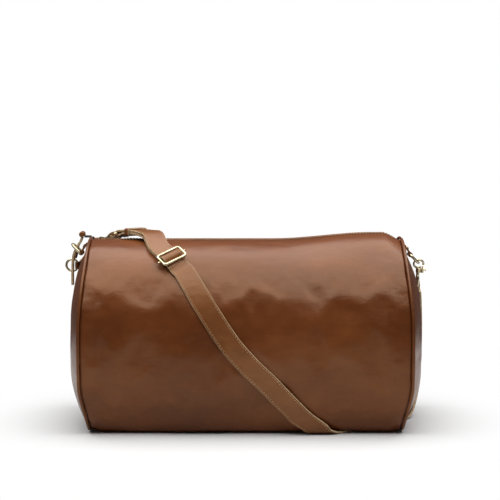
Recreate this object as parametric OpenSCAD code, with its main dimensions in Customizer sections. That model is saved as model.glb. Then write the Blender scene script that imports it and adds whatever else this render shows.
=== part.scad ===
// Weekender bag: a soft leather barrel with a long top zip, domed ends and a crossbody strap.
// Frame: X along the zip, Y from front (-) to back (+), Z up, origin under the middle of the base.

/* [Body] */
// Length between the two end seams
body_l = 460; // [440:2:480]
// Depth from front to back at the widest place
body_d = 270; // [262:2:276]
// Height of the closed bag
body_h = 272; // [268:1:276]
// Width of the flat bottom
base_w = 176; // [170:2:180]
// Height at which the bag is widest
belly_z = 118; // [112:1:124]
// How far each end bulges past its seam
end_bulge = 31; // [26:1:34]
// Thickness of the leather
leather_t = 2.4; // [1.8:0.2:2.6]
// Thickness of the lining cloth
lining_t = 1; // [0.8:0.1:1.2]
// Diameter of the piping in the end seams
piping_d = 4.5; // [4:0.1:5]

/* [Zip] */
// Half the gap between the two folded leather edges
zip_gap = 9; // [8:0.5:10]
// Width of one zip tooth row across the zip
teeth_w = 5.6; // [5:0.2:6]
// Distance from one tooth to the next in the same row
tooth_pitch = 3; // [3:0.5:4]
// Left end of the two opening flaps
flap_x0 = -99.6; // [-100:0.2:-98]
// Right end of the two opening flaps
flap_x1 = 196; // [190:1:198]
// Distance of each flap's hinge line from the middle
flap_y = 51; // [48:1:52]
// Resting place of the zip slider along X
slider_x = -215; // [-216:0.5:-214]

/* [Strap] */
// Width of the shoulder strap
strap_w = 30; // [28:0.5:30]
// Thickness of the shoulder strap
strap_t = 3; // [2.6:0.1:3]
// Wire diameter of the rings and the tri-glide
wire_d = 4; // [3.6:0.1:4]

/* [Hidden] */

gap = 0.3;
half_l = body_l / 2;
half_d = body_d / 2;
half_base = base_w / 2;
top_rise = body_h - belly_z;
side_round = half_d - half_base;
top_power = 2.3;
dome_power = 2.2;
dome_mid_z = 125;
end_lift = 5;
flat_l = half_l - 18;

leather = "#8a5a34";
cloth = "#6b5a46";
metal = "#b59a5c";
dark = "#3a302a";

// ---- the shape of the bag ----
// A place on the section is given by u: 0 on top, 1 at the belly, 2 where the flat
// bottom starts and 3 under the middle. The front has negative u.
function sgn(u) = u < 0 ? -1 : 1;
function arc_y(a) = half_d * pow(cos(a), 2 / top_power);
function arc_z(a) = belly_z + top_rise * pow(sin(a), 2 / top_power);
function half_pt(w) = w <= 1 ? [arc_y(90 - 90 * w), arc_z(90 - 90 * w)]
    : w <= 2 ? [half_base + side_round * cos(90 * w - 90), belly_z * (1 - sin(90 * w - 90))]
    : [half_base * (3 - w), 0];
function half_normal(w) =
    w <= 1 ? let(p = half_pt(w)) [
        pow(p[0] / half_d, top_power - 1) / half_d,
        pow((p[1] - belly_z) / top_rise, top_power - 1) / top_rise]
    : w <= 2 ? let(p = half_pt(w)) [
        (p[0] - half_base) / pow(side_round, 2), (p[1] - belly_z) / pow(belly_z, 2)]
    : [0, -1];
// A point of the section, moved outwards by off
function section_pt(u, off) =
    let(p = half_pt(abs(u)), n = half_normal(abs(u)), k = off / norm(n))
    [sgn(u) * (p[0] + n[0] * k), p[1] + n[1] * k];
// The bottom rises a little towards the end seams
function lift(x, z) = max(0, abs(x) - flat_l) / (half_l - flat_l) * end_lift * max(0, 1 - z / belly_z);
function skin_pt(x, u, off) = let(p = section_pt(u, off)) [x, p[0], p[1] + lift(x, p[1])];
// The u at a given distance y from the middle, on the top half
function u_at(y) = sgn(y) * (1 - acos(pow(abs(y) / half_d, top_power / 2)) / 90);
// A point of a domed end: r is 1 on the seam and 0 in the middle
function dome_pt(r, u, off) =
    let(p = section_pt(u, 0), q = [r * p[0], dome_mid_z + r * (p[1] - dome_mid_z)])
    [half_l + gap + (end_bulge - gap) * (1 - pow(r, dome_power)) + off, q[0],
        q[1] + end_lift * max(0, 1 - q[1] / belly_z)];

function range(a, b, n) = [for (i = [0:n]) a + (b - a) * i / n];

// Closed shell between two grids of points with the same rows and columns
module shell(outer, inner) {
    rows = len(outer);
    cols = len(outer[0]);
    count = rows * cols;
    function id(i, j) = i * cols + j;
    pts = concat([for (r = outer) each r], [for (r = inner) each r]);
    faces = concat(
        [for (i = [0:rows - 2], j = [0:cols - 2]) [id(i, j), id(i, j + 1), id(i + 1, j + 1)]],
        [for (i = [0:rows - 2], j = [0:cols - 2]) [id(i, j), id(i + 1, j + 1), id(i + 1, j)]],
        [for (i = [0:rows - 2], j = [0:cols - 2])
            [count + id(i, j), count + id(i + 1, j + 1), count + id(i, j + 1)]],
        [for (i = [0:rows - 2], j = [0:cols - 2])
            [count + id(i, j), count + id(i + 1, j), count + id(i + 1, j + 1)]],
        [for (j = [0:cols - 2]) [id(0, j + 1), id(0, j), count + id(0, j), count + id(0, j + 1)]],
        [for (j = [0:cols - 2]) let(e = rows - 1)
            [id(e, j), id(e, j + 1), count + id(e, j + 1), count + id(e, j)]],
        [for (i = [0:rows - 2]) [id(i, 0), id(i + 1, 0), count + id(i + 1, 0), count + id(i, 0)]],
        [for (i = [0:rows - 2]) let(e = cols - 1)
            [id(i + 1, e), id(i, e), count + id(i, e), count + id(i + 1, e)]]);
    polyhedron(pts, faces, convexity = 6);
}

// Part of the barrel from x0 to x1 and from u0 to u1, between two offsets
module skin_patch(x0, x1, u0, u1, out, inn, nx, nu) {
    xs = range(x0, x1, nx);
    us = range(u0, u1, nu);
    shell([for (x = xs) [for (u = us) skin_pt(x, u, out)]],
        [for (x = xs) [for (u = us) skin_pt(x, u, inn)]]);
}

// A point on a domed end and the direction it faces: side is -1 left, 1 right
function on_dome(side, r, u, off) =
    let(p = dome_pt(r, u, off), q = section_pt(u, 0), slope = 0.45 * r / half_d)
    [[side * p[0], p[1], p[2]], [side, slope * q[0], slope * (q[1] - dome_mid_z)], 0];

// ---- ribbons ----
// Each row of a route is a point of the ribbon's middle, the way its outer face looks, and
// the lean of its cross line
function on_skin(x, u, off, lean) =
    let(p = skin_pt(x, u, off), q = skin_pt(x, u, off + 1)) [p, q - p, lean];
function unit(v) = v / norm(v);
function spline(a, b, c, d, t) = 0.5 * (2 * b + (c - a) * t + (2 * a - 5 * b + 4 * c - d) * t * t
    + (3 * b - a - 3 * c + d) * t * t * t);
function clamp(i, n) = max(0, min(n - 1, i));
function smooth(rows, k, steps) = let(n = len(rows)) concat(
    [for (i = [0:n - 2], j = [0:steps - 1])
        spline(rows[clamp(i - 1, n)][k], rows[i][k], rows[i + 1][k], rows[clamp(i + 2, n)][k],
            j / steps)],
    [rows[n - 1][k]]);

// The cross line is square to the ribbon at lean 0, along X at -1 and along Y at 1, so that
// the ribbon can fold over a straight edge at a slant
least_lean = 0.05;
least_slant = 0.55;
function cross_line(square, lean) =
    let(k = abs(lean), axis = lean < 0 ? [1, 0, 0] : [0, -1, 0])
    k < least_lean ? square : (1 - k) * square + k / max(least_slant, square * axis) * axis;

// Flat ribbon along a route, from width w0 to w1 and thickness t0 to t1
module ribbon(rows, w0, w1, t0, t1, steps = 2) {
    p = smooth(rows, 0, steps);
    v = smooth(rows, 1, steps);
    lean = smooth(rows, 2, steps);
    n = len(p);
    along = [for (i = [0:n - 1]) unit(p[clamp(i + 1, n)] - p[clamp(i - 1, n)])];
    square = [for (i = [0:n - 1]) unit(cross(along[i], v[i]))];
    out = [for (i = [0:n - 1]) unit(cross(square[i], along[i]))];
    side = [for (i = [0:n - 1]) cross_line(square[i], lean[i])];
    w = [for (i = [0:n - 1]) (w0 + (w1 - w0) * i / (n - 1)) / 2];
    t = [for (i = [0:n - 1]) (t0 + (t1 - t0) * i / (n - 1)) / 2];
    function edges(i, face) = let(c = p[i] + face * t[i] * out[i])
        [c - side[i] * w[i], c + side[i] * w[i]];
    shell([for (i = [0:n - 1]) edges(i, -1)], [for (i = [0:n - 1]) edges(i, 1)]);
}

lower_off = 1.9;
upper_off = 5.4;
single_off = 3;
glide_off = 10.2;
bridge_z = 280.7;
upper_z = bridge_z + 3.5;
tunnel_from = [112, -108];
tunnel_to = [238, 18];
tunnel_w = 34.6;
tunnel_h = 4;
floor_gap = 0.2;
tunnel_angle = atan2(tunnel_to[1] - tunnel_from[1], tunnel_to[0] - tunnel_from[0]);
// Where the strap's end ring holds the strap and the tab, and the way from one to the other
ring_near = [-181, 26.3, 279];
ring_far = [-188.6, 35.6, 276.4];
ring_way = [-0.633, 0.774, 0];
up = [0, 0, 1];
function round_bar(c, r, a, side) =
    let(v = side * cos(a) * ring_way + sin(a) * up) [c + r * v, v, 0];
// A row of a route on the bag with its face turned to the leather
function faced_in(row) = [row[0], -row[1], row[2]];
// From the right hook down behind the right end, under the base, up the front, through
// the tri-glide, over the top, round the end ring and back to the tri-glide
strap_route = [
    [[262.2, 41.5, 193.5], [1, 0, 0.1], 0],
    [[263.6, 47, 175], [1, 0, 0.1], 0],
    [[265.5, 54, 147], [1, 0, 0], 0],
    [[265.8, 58, 112], [1, 0, 0], 0],
    [[264.6, 56, 80], [1, 0, 0], 0.1],
    [[261.4, 50, 50], [0.9, 0.1, -0.3], 0.4],
    [[256, 40, 24], [0.8, 0, -0.5], 0.8],
    [[248, 29, 9.5], [0.5, 0, -0.8], 0.6],
    [[240, 20, 3.2], [0.1, 0, -1], 0.7],
    [[230, 10, 1.8], [0, 0, -1], 0.8],
    [[196, -24, 1.8], [0, 0, -1], 0],
    [[156, -64, 1.8], [0, 0, -1], -0.5],
    [[128, -92, 1.8], [0, -0.03, -1], -0.9],
    [[115, -105, 2.1], [0, -0.35, -0.94], -1],
    [[105, -114.2, 5.6], [0, -0.6, -0.8], -1],
    [[96.5, -119.4, 12.6], [0, -0.9, -0.4], -1],
    on_skin(79, -1.54, 5, -1),
    on_skin(58, -1.39, 5, -0.8),
    on_skin(31, -1.22, 4.2, -0.4),
    on_skin(3, -1.07, 3.2, 0),
    on_skin(-23, -0.95, single_off, 0),
    on_skin(-54, -0.77, single_off, 0),
    on_skin(-74, -0.62, single_off, 0),
    on_skin(-87, -0.51, single_off, 0),
    on_skin(-93.3, -0.472, 2.4, 0),
    on_skin(-96.8, -0.45, 3.6, 0),
    on_skin(-98.9, -0.439, 4.8, 0),
    on_skin(-100.7, -0.427, 6, 0),
    on_skin(-102.7, -0.415, 9.2, 0),
    on_skin(-104.5, -0.404, 11.9, 0),
    on_skin(-106.2, -0.393, 12.7, 0),
    on_skin(-107.9, -0.382, 11.9, 0),
    on_skin(-109.7, -0.371, 9.3, 0),
    on_skin(-111.6, -0.36, 6.4, 0),
    on_skin(-113.3, -0.348, 5.6, 0),
    on_skin(-115.2, -0.335, upper_off, 0),
    on_skin(-118.3, -0.314, upper_off, 0),
    on_skin(-121.8, -0.286, upper_off, 0),
    on_skin(-127.5, -0.235, upper_off + 0.8, 0),
    [[-136, -31, 281.6], [0, -0.25, 1], 0],
    [[-145, -18, upper_z - 0.6], [0, -0.1, 1], 0],
    [[-154, -7, upper_z], [0, -0.03, 1], 0],
    [[-163, 4, upper_z], [0, 0, 1], 0],
    [[-172, 15, upper_z - 0.4], [-0.05, 0.07, 1], 0],
    round_bar(ring_near, 3.4, 90, 1),
    round_bar(ring_near, 3.4, 40, 1),
    round_bar(ring_near, 3.4, 0, 1),
    round_bar(ring_near, 3.4, -40, 1),
    round_bar(ring_near, 3.4, -90, 1),
    [[-172, 15, bridge_z - 1], [-0.1, 0.1, -1], 0],
    [[-163, 4, bridge_z], [0, 0, -1], 0],
    [[-154, -7, bridge_z], [0, 0, -1], 0],
    [[-145, -18, bridge_z - 0.8], [0, 0.1, -1], 0],
    [[-136, -31, 277.2], [0, 0.25, -1], 0],
    faced_in(on_skin(-127.5, -0.235, lower_off + 0.5, 0)),
    faced_in(on_skin(-121.8, -0.286, lower_off, 0)),
    faced_in(on_skin(-115.2, -0.335, lower_off, 0)),
    faced_in(on_skin(-111.6, -0.36, lower_off, 0)),
    faced_in(on_skin(-109.2, -0.375, 2.8, 0))];
// Round the end ring's far bar, over the back corner and round the left hook's eye
left_tab_route = [
    [[-193.7, 41.8, 272.8], [0.1, -0.25, -1], 0],
    round_bar(ring_far, 3.5, -90, -1),
    round_bar(ring_far, 3.5, -40, -1),
    round_bar(ring_far, 3.5, 0, -1),
    round_bar(ring_far, 3.5, 40, -1),
    round_bar(ring_far, 3.5, 90, -1),
    [[-194.4, 42.6, 277.6], [-0.1, 0.2, 1], 0],
    on_skin(-202, u_at(53), 5.2, 0),
    on_skin(-211, u_at(66), 3.2, 0),
    on_skin(-221, u_at(77), 4, 0),
    on_skin(-231.5, u_at(86), 6.8, 0),
    on_dome(-1, 0.97, u_at(89), 6.6),
    on_dome(-1, 0.88, u_at(84), 5.4),
    on_dome(-1, 0.82, u_at(66), 4.6),
    on_dome(-1, 0.78, u_at(46), 4.2),
    [[-249.4, 32, 231.4], [-1, 0, 0], 0],
    [[-248.4, 22, 231.7], [-1, 0, 0], 0],
    [[-248.1, 15, 231.7], [-1, 0, 0], 0],
    [[-248.8, 10.8, 231.7], [-0.7, 0.7, 0], 0],
    [[-251.4, 9, 231.7], [0, 1, 0], 0],
    [[-254.4, 10.8, 231.7], [0.7, 0.7, 0], 0],
    [[-255.1, 15, 231.7], [1, 0, 0], 0],
    [[-255.1, 21, 231.7], [1, 0, 0], 0]];
// From the right hook's eye to the start of the shoulder strap
right_tab_route = [
    [[255.8, 43.4, 195.2], [-1, 0, 0], 0],
    [[255.5, 41.4, 199.5], [-1, 0, 0], 0],
    [[256.2, 39.5, 203.2], [-0.7, -0.35, 0.6], 0],
    [[259, 38, 205.5], [0, -0.5, 0.87], 0],
    [[261.8, 39.5, 203.2], [0.7, -0.35, 0.6], 0],
    [[262.5, 41.2, 199.5], [1, 0, 0], 0],
    [[262.2, 41.3, 195.4], [1, 0, 0.1], 0]];

// ---- rings, chapes and hooks ----
ring_w = 30;
ring_deep = 22;
ring_fit = 0.1;
chape_w = 18;
chape_l = 16;
chape_tilt = -56.5;
chape_wall = 1.5;
left_bar = [-244.2, 0, 251.7];
right_bar = [245.8, 22, 247];
left_ring_tilt = 223;
right_ring_tilt = 45;
hook_r = 7.2;
hook_wire = 3.2;
eye_r = 8.75;
eye_wire = 3.5;
eye_z = -27;
bolt_x = 6.2;
bolt_d = 2.3;
bolt_fit = 0.1;
left_loop = [-251.6, 13.4, 257.5];
left_hook_tilt = 17.5;
right_loop = [259, 22, 232.8];
right_hook_tilt = 30;

thong_w = 12.6;
thong_t = 3.2;
thong_route = [
    [[-242.6, -2.5, 274.6], [-0.7, 0, 0.3], 0],
    [[-245.5, -2.5, 268], [-0.8, 0, 0.5], 0],
    [[-250.6, -2.5, 260], [-0.8, 0, 0.5], 0],
    [[-254.4, -2.5, 252], [-0.9, 0, 0.3], 0],
    [[-256.5, -2.5, 243], [-1, 0, 0.1], 0],
    [[-257.2, -2.5, 231], [-1, 0, 0], 0],
    [[-257.5, -2.5, 218], [-1, 0, 0], 0],
    [[-257.5, -2.5, 204], [-1, 0, 0], 0]];

module at(p) { translate(p) children(); }
module rod(d, l) { cylinder(h = l, d = d, center = true, $fn = 32); }
module rod_x(d, l) { rotate([0, 90, 0]) rod(d, l); }
module rod_y(d, l) { rotate([90, 0, 0]) rod(d, l); }
module bend(radius, angle) {
    rotate_extrude(angle = angle, $fn = 48) translate([radius, 0]) circle(d = wire_d, $fn = 24);
}

// ---- leather panels ----
module tunnel(w, h, reach) {
    mid = (tunnel_from + tunnel_to) / 2;
    translate([mid[0], mid[1], h / 2 - 1])
        rotate([0, 0, tunnel_angle])
        cube([norm(tunnel_to - tunnel_from) + reach, w, h + 2], center = true);
}

module base_profile() {
    rise = end_lift;
    polygon([[-half_l, rise], [-flat_l, 0], [flat_l, 0], [half_l, rise],
        [half_l, rise + leather_t], [flat_l, leather_t], [-flat_l, leather_t],
        [-half_l, rise + leather_t]]);
}

module base_panel() {
    color(leather)
    difference() {
        union() {
            rotate([90, 0, 0])
                linear_extrude(base_w, center = true) base_profile();
            intersection() {
                translate([0, 0, leather_t]) tunnel(tunnel_w + 2 * leather_t, tunnel_h, -20);
                translate([-half_l, -half_base, 0]) cube([body_l - 2, base_w, 20]);
            }
        }
        tunnel(tunnel_w, tunnel_h, 40);
    }
}

// The long side panels, with the opening for the flap cut out of the top
module side_panel(side) {
    u_top = u_at(zip_gap);
    difference() {
        if (side > 0) skin_patch(-half_l + gap, half_l - gap, u_top, 2, 0, -leather_t, 16, 22);
        else skin_patch(-half_l + gap, half_l - gap, -2, -u_top, 0, -leather_t, 16, 22);
        translate([flap_x0 - gap, side > 0 ? 0 : -flap_y - gap, body_h - 40])
            cube([flap_x1 - flap_x0 + 2 * gap, flap_y + gap, 60]);
        tunnel(tunnel_w + 10, tunnel_h + 2, 40);
    }
}

module front_panel() { color(leather) side_panel(-1); }
module back_panel() { color(leather) side_panel(1); }

// Domed cap between two stacks of closed rings, each stack ending in a middle point
module dome(outer, inner, outer_tip, inner_tip) {
    rows = len(outer);
    cols = len(outer[0]);
    count = rows * cols;
    function id(k, i, j) = k * count + i * cols + j % cols;
    pts = concat([for (r = outer) each r], [for (r = inner) each r], [outer_tip, inner_tip]);
    faces = concat(
        [for (i = [0:rows - 2], j = [0:cols - 1]) [id(0, i, j), id(0, i, j + 1), id(0, i + 1, j + 1)]],
        [for (i = [0:rows - 2], j = [0:cols - 1]) [id(0, i, j), id(0, i + 1, j + 1), id(0, i + 1, j)]],
        [for (i = [0:rows - 2], j = [0:cols - 1]) [id(1, i, j), id(1, i + 1, j + 1), id(1, i, j + 1)]],
        [for (i = [0:rows - 2], j = [0:cols - 1]) [id(1, i, j), id(1, i + 1, j), id(1, i + 1, j + 1)]],
        [for (j = [0:cols - 1]) [id(0, rows - 1, j), id(0, rows - 1, j + 1), 2 * count]],
        [for (j = [0:cols - 1]) [id(1, rows - 1, j + 1), id(1, rows - 1, j), 2 * count + 1]],
        [for (j = [0:cols - 1]) [id(0, 0, j + 1), id(0, 0, j), id(1, 0, j)]],
        [for (j = [0:cols - 1]) [id(0, 0, j + 1), id(1, 0, j), id(1, 0, j + 1)]]);
    polyhedron(pts, faces, convexity = 4);
}

module end_panel(side) {
    steps = 48;
    rs = [1, 0.94, 0.86, 0.74, 0.58, 0.38, 0.18];
    us = [for (i = [0:steps - 1]) -3 + 6 * i / steps];
    shrink = 1 - leather_t / half_d;
    outer = [for (r = rs) [for (u = us) dome_pt(r, u, 0)]];
    inner = [for (r = rs) [for (u = us) dome_pt(r * shrink, u, -leather_t)]];
    color(leather)
    mirror([side < 0 ? 1 : 0, 0, 0])
    intersection() {
        dome(outer, inner, dome_pt(0, 0, 0), dome_pt(0, 0, -leather_t));
        translate([half_l + gap, -half_d, 0]) cube([60, body_d, body_h + 10]);
    }
}
module left_end_panel() { end_panel(-1); }
module right_end_panel() { end_panel(1); }

// Round cord sewn into each end seam, open at the top where the zip passes
module piping(side) {
    sides = 8;
    us = range(u_at(zip_gap + 2), 6 - u_at(zip_gap + 2), 56);
    function fold(u) = u > 3 ? u - 6 : u;
    r = piping_d / 2;
    rings = [for (u = us) let(w = fold(u), c = skin_pt(half_l + 1.4, w, 0),
        o = skin_pt(half_l + 1.4, w, 1) - c)
        [for (k = [0:sides - 1]) c + o * (r + r * sin(360 * k / sides))
            + [r * cos(360 * k / sides), 0, 0]]];
    n = len(rings);
    faces = concat(
        [for (i = [0:n - 2], k = [0:sides - 1])
            [i * sides + k, i * sides + (k + 1) % sides, (i + 1) * sides + (k + 1) % sides]],
        [for (i = [0:n - 2], k = [0:sides - 1])
            [i * sides + k, (i + 1) * sides + (k + 1) % sides, (i + 1) * sides + k]],
        [[for (k = [0:sides - 1]) sides - 1 - k]],
        [[for (k = [0:sides - 1]) (n - 1) * sides + k]]);
    color(leather)
    difference() {
        mirror([side < 0 ? 1 : 0, 0, 0])
            polyhedron([for (r = rings) each r], faces, convexity = 6);
        tunnel(tunnel_w, tunnel_h, 40);
    }
}
module left_piping() { piping(-1); }
module right_piping() { piping(1); }

// ---- inside ----
board_z = 6.8;
board_t = 2.4;
module base_board() {
    color(dark)
    translate([0, 0, board_z])
        linear_extrude(board_t)
        square([430, 170], center = true);
}

// Outline of the section at an offset, closed along the bottom
module section_shape(off) {
    polygon([for (u = range(-2, 2, 80)) section_pt(u, off)]);
}
module section_bar(off, l) {
    rotate([90, 0, 90])
        linear_extrude(l, center = true) section_shape(off);
}

// Cloth bag inside the leather, open along the mouth
module lining() {
    out = -leather_t - 1;
    floor_z = board_z + board_t + gap;
    lining_l = 2 * flat_l;
    mouth_w = 2 * (flap_y + 4);
    color(cloth)
    difference() {
        section_bar(out, lining_l);
        translate([0, 0, floor_z / 2 - 5]) cube([body_l, body_d, floor_z + 10], center = true);
        difference() {
            section_bar(out - lining_t, lining_l - 2 * lining_t);
            translate([0, 0, floor_z + lining_t - 10]) cube([body_l, body_d, 20], center = true);
        }
        translate([0, 0, body_h]) cube([lining_l - 2 * lining_t, mouth_w, 60], center = true);
        translate([0, 0, body_h + 4]) cube([body_l, mouth_w, 60], center = true);
    }
}

// ---- the mouth: two flaps that carry the zip ----
module top_flap(side) {
    u0 = u_at(zip_gap);
    u1 = u_at(flap_y);
    color(leather)
    if (side > 0) skin_patch(flap_x0, flap_x1, u0, u1, 0, -leather_t, 12, 5);
    else skin_patch(flap_x0, flap_x1, -u1, -u0, 0, -leather_t, 12, 5);
}
module front_top_flap() { top_flap(-1); }
module back_top_flap() { top_flap(1); }

tape_z = body_h - 4.4;
tape_t = 0.8;
tape_w = 17;
teeth_h = 3.6;
teeth_z = tape_z + tape_t / 2 - teeth_h / 2;
core = 1.1;
module tape(x0, x1, side) {
    inner = teeth_w / 2;
    color(dark)
    scale([1, side, 1])
    translate([x0, inner, tape_z])
        cube([x1 - x0, tape_w - inner, tape_t]);
}

// One row of teeth as a comb: a spine with teeth that reach past the middle
module teeth(x0, x1, side) {
    tooth_l = tooth_pitch / 2 - 0.5;
    spine = 1;
    half_w = teeth_w / 2;
    shift = side > 0 ? 0 : tooth_pitch / 2;
    first = ceil((x0 - shift + 0.2) / tooth_pitch);
    last = floor((x1 - shift - tooth_l - 0.2) / tooth_pitch);
    color(metal)
    scale([1, side, 1])
    translate([0, 0, teeth_z])
        linear_extrude(teeth_h)
        polygon(concat(
            [[x0, half_w], [x0, half_w - spine]],
            [for (i = [first:last]) let(x = i * tooth_pitch + shift) each [
                [x, half_w - spine], [x, -core], [x + tooth_l, -core], [x + tooth_l, half_w - spine]]],
            [[x1, half_w - spine], [x1, half_w]]));
}

zip_x0 = -224;
zip_x1 = 219;
module zip_tape_front() { tape(flap_x0, flap_x1, -1); }
module zip_tape_back() { tape(flap_x0, flap_x1, 1); }
module zip_teeth_front() { teeth(flap_x0, flap_x1, -1); }
module zip_teeth_back() { teeth(flap_x0, flap_x1, 1); }
module zip_tape_left_end() { for (side = [-1, 1]) tape(zip_x0 - 2.6, flap_x0 - gap, side); }
module zip_tape_right_end() { for (side = [-1, 1]) tape(flap_x1 + gap, zip_x1 + 4, side); }
module zip_teeth_left_end() { for (side = [-1, 1]) teeth(zip_x0, flap_x0 - gap, side); }
module zip_teeth_right_end() { for (side = [-1, 1]) teeth(flap_x1 + gap, zip_x1, side); }

module stop(x) {
    color(metal)
    translate([x, 0, tape_z + tape_t / 2])
        cube([1.8, teeth_w - 0.4, teeth_h], center = true);
}
module zip_top_stop() { stop(zip_x0 - 1.2); }
module zip_bottom_stop() { stop(zip_x1 + 1.2); }

// ---- the zip's tail, knob and thong at the left end ----
knob_x = -242.6;
knob_z = 279.4;
knob_d = 8.4;
module zip_tail() {
    low = tape_z;
    high = body_h + 2.8;
    x_in = zip_x0 - 2.9;
    color(dark)
    rotate([90, 0, 0])
        linear_extrude(2 * zip_gap - 1, center = true)
        polygon([[x_in, low], [x_in, low + tape_t], [x_in - 3.2, high + 2.2], [-239.2, high + 2.4],
            [-239.2, high], [x_in - 4.4, high - 0.2], [x_in - 2, low]]);
}

module zip_tail_knob() {
    color(leather)
    at([knob_x, -3, knob_z])
    rotate([90, 0, 0])
    rotate_extrude($fn = 48)
        polygon([[0, -9], [knob_d / 2 - 1, -9], [knob_d / 2, -8], [knob_d / 2, 8],
            [knob_d / 2 - 1, 9], [0, 9]]);
}

module zip_tail_thong() {
    color(leather)
    ribbon(thong_route, thong_w, thong_w, thong_t, thong_t, 2);
}

// ---- slider and pull ----
slider_l = 12;
plate_w = 11;
plate_t = 1.4;
play = 0.35;
teeth_top = teeth_z + teeth_h;
pin_z = teeth_top + play + plate_t + 2.2;
pin_d = 1.6;
pull_l = 20;
pull_w = 6.4;
flange_t = 1.6;
lug_l = 4.8;
lug_t = 1.2;
lug_h = 3.6;
lug_y = 2.2;
module slider_plate(z) {
    translate([-slider_l / 2, -plate_w / 2, z]) cube([slider_l, plate_w, plate_t]);
}
module slider_flanges(z0, z1) {
    for (y = [teeth_w / 2 + play, -teeth_w / 2 - play - flange_t])
        translate([-slider_l / 2, y, z0]) cube([slider_l, flange_t, z1 - z0]);
}

module zip_slider() {
    top = teeth_top + play;
    low = teeth_z - play - plate_t;
    color(metal)
    translate([slider_x, 0, 0]) {
        difference() {
            union() {
                slider_plate(top);
                slider_flanges(tape_z + tape_t + play, top);
                for (y = [-lug_y - lug_t, lug_y])
                    translate([-lug_l / 2, y, top + plate_t]) cube([lug_l, lug_t, lug_h]);
            }
            at([0, 0, pin_z]) rod_y(pin_d, 4 * lug_l);
        }
        at([0, 0, pin_z]) rod_y(pin_d, 2 * (lug_y + lug_t));
        slider_plate(low);
        slider_flanges(low + plate_t, tape_z - play);
    }
}

pull_t = 1.6;
pull_neck_w = 3.2;
pull_eye_w = 3.8;
pull_hole_d = 2.4;
pin_fit = 0.05;
module zip_pull() {
    tip_x = pull_l - pull_w / 2;
    neck_l = 6;
    color(metal)
    at([slider_x, 0, pin_z])
    difference() {
        union() {
            rod_y(pin_d + 1.8, pull_eye_w);
            translate([0, -pull_neck_w / 2, -pull_t / 2]) cube([neck_l, pull_neck_w, pull_t]);
            translate([neck_l - 1, -pull_w / 2, -pull_t / 2])
                cube([tip_x - neck_l + 1, pull_w, pull_t]);
            translate([tip_x, 0, 0]) rod(pull_w, pull_t);
        }
        rod_y(pin_d + 2 * pin_fit, 2 * pull_eye_w);
        translate([tip_x, 0, 0]) rod(pull_hole_d, 2 * pull_t);
    }
}

// ---- rings, chapes and rivets ----
ring_corner = 3;
module d_ring() {
    r = (ring_w - wire_d) / 2;
    straight = ring_deep - wire_d - r;
    color(metal) {
        rod_y(wire_d, 2 * (r - ring_corner));
        for (side = [-1, 1]) {
            translate([ring_corner, side * (r - ring_corner), 0])
                rotate([0, 0, side > 0 ? 90 : 180]) bend(ring_corner, 90);
            translate([(straight + ring_corner) / 2, side * r, 0])
                rod_x(wire_d, straight - ring_corner);
        }
        translate([straight, 0, 0]) rotate([0, 0, -90]) bend(r, 180);
    }
}
module left_ring() { at(left_bar) rotate([0, left_ring_tilt, 0]) d_ring(); }
module right_ring() { at(right_bar) rotate([0, right_ring_tilt, 0]) d_ring(); }

rivet_at = 10.5;
rivet_d = 2.4;
module chape() {
    sleeve_d = wire_d + 2 * ring_fit;
    color(leather)
    difference() {
        union() {
            rod_y(sleeve_d + 2 * chape_wall, chape_w);
            translate([0, -chape_w / 2, -0.3]) cube([chape_l, chape_w, leather_t]);
        }
        rod_y(sleeve_d, chape_w + 2);
        at([rivet_at, 0, 0]) rod(rivet_d, 12);
    }
}
module rivet_head() {
    rotate_extrude($fn = 48)
        polygon([[0, 0], [3.6, 0], [3.4, 0.8], [2, 1.5], [0, 1.7]]);
}
module rivet() {
    top = leather_t - 0.3;
    color(metal)
    translate([rivet_at, 0, 0])
    {
        translate([0, 0, -0.3]) cylinder(h = leather_t, d = rivet_d, $fn = 48);
        translate([0, 0, top]) rivet_head();
    }
}
module on_left_chape() { at(left_bar) rotate([0, chape_tilt, 0]) children(); }
module on_right_chape() { at(right_bar) mirror([1, 0, 0]) rotate([0, chape_tilt, 0]) children(); }
module left_chape() { on_left_chape() chape(); }
module right_chape() { on_right_chape() chape(); }
module left_chape_rivet() { on_left_chape() rivet(); }
module right_chape_rivet() { on_right_chape() rivet(); }

// ---- snap hooks ----
// Own frame: the ring sits in the loop at the origin, the swivel eye hangs at eye_z
barrel_top = -8.2;
barrel_low = -15.2;
barrel_d = 7.2;
shank_d = 3;
head_d = 4.4;
head_top = -10;
fit = 0.05;
module hook_body() {
    color(metal)
    difference() {
        union() {
            rotate([90, 0, 0])
                rotate([0, 0, -12])
                rotate_extrude(angle = 312, $fn = 64)
                translate([hook_r, 0])
                circle(d = hook_wire, $fn = 24);
            translate([0, 0, barrel_low]) cylinder(h = barrel_top - barrel_low + 1.4, d = barrel_d, $fn = 48);
            translate([bolt_x, 0, barrel_low]) cylinder(h = 6.8, d = 5, $fn = 32);
            translate([2, -1.6, barrel_low]) cube([3, 3.2, 6.8]);
        }
        translate([0, 0, barrel_low - 1]) cylinder(h = 4, d = shank_d + 2 * fit, $fn = 48);
        translate([0, 0, head_top - 1.6]) cylinder(h = 2, d = head_d + 2 * fit, $fn = 48);
        translate([0, 0, barrel_low + 2.6]) cylinder(h = 2.4, d = shank_d + 2 * fit, $fn = 48);
        translate([bolt_x, 0, barrel_low - 1]) cylinder(h = 14, d = bolt_d + 2 * bolt_fit, $fn = 32);
        translate([bolt_x, -1.25, barrel_low - 1]) cube([6, 2.5, 6.6]);
    }
}

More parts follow.
